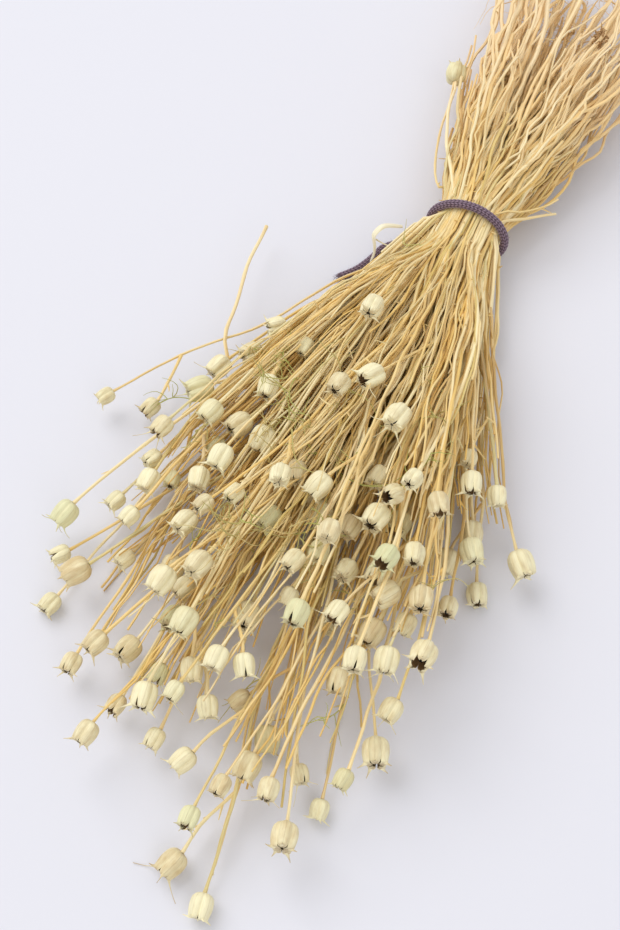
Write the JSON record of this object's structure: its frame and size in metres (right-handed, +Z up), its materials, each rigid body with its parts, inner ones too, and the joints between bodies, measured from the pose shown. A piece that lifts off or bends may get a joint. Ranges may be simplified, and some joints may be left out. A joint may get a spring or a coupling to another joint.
{
  "type": "tied bunch of nigella seed pods",
  "caption": "Bunch of dried nigella stalks with lobed seed pods, held together by a knitted cord band and lying flat.",
  "frame": {"origin": "middle of the flat underside of the band that ties the bunch, on the surface it lies on", "axes": "+Y along the stalks towards the roots, -Y towards the pods, +X to the right looking along +Y, +Z up"},
  "size_m": [0.215, 0.5477, 0.0644],
  "materials": {
    "dry_stalk": "matte dry straw",
    "knitted_cord": "knitted yarn"
  },
  "bodies": {
    "root": {"spray_01": "dry_stalk", "spray_02": "dry_stalk", "spray_03": "dry_stalk", "spray_04": "dry_stalk", "spray_05": "dry_stalk", "spray_06": "dry_stalk", "spray_07": "dry_stalk", "spray_08": "dry_stalk", "spray_09": "dry_stalk", "spray_10": "dry_stalk", "spray_11": "dry_stalk", "spray_12": "dry_stalk", "spray_13": "dry_stalk", "spray_14": "dry_stalk", "spray_15": "dry_stalk", "spray_16": "dry_stalk", "spray_17": "dry_stalk", "spray_18": "dry_stalk", "spray_19": "dry_stalk", "spray_20": "dry_stalk", "spray_21": "dry_stalk", "spray_22": "dry_stalk", "spray_23": "dry_stalk", "spray_24": "dry_stalk", "spray_25": "dry_stalk", "spray_26": "dry_stalk", "spray_27": "dry_stalk", "spray_28": "dry_stalk", "spray_29": "dry_stalk", "spray_30": "dry_stalk", "spray_31": "dry_stalk", "spray_32": "dry_stalk", "spray_33": "dry_stalk", "spray_34": "dry_stalk", "spray_35": "dry_stalk", "spray_36": "dry_stalk", "tie_band": "knitted_cord", "tie_end": "knitted_cord"}
  },
  "joints": []
}
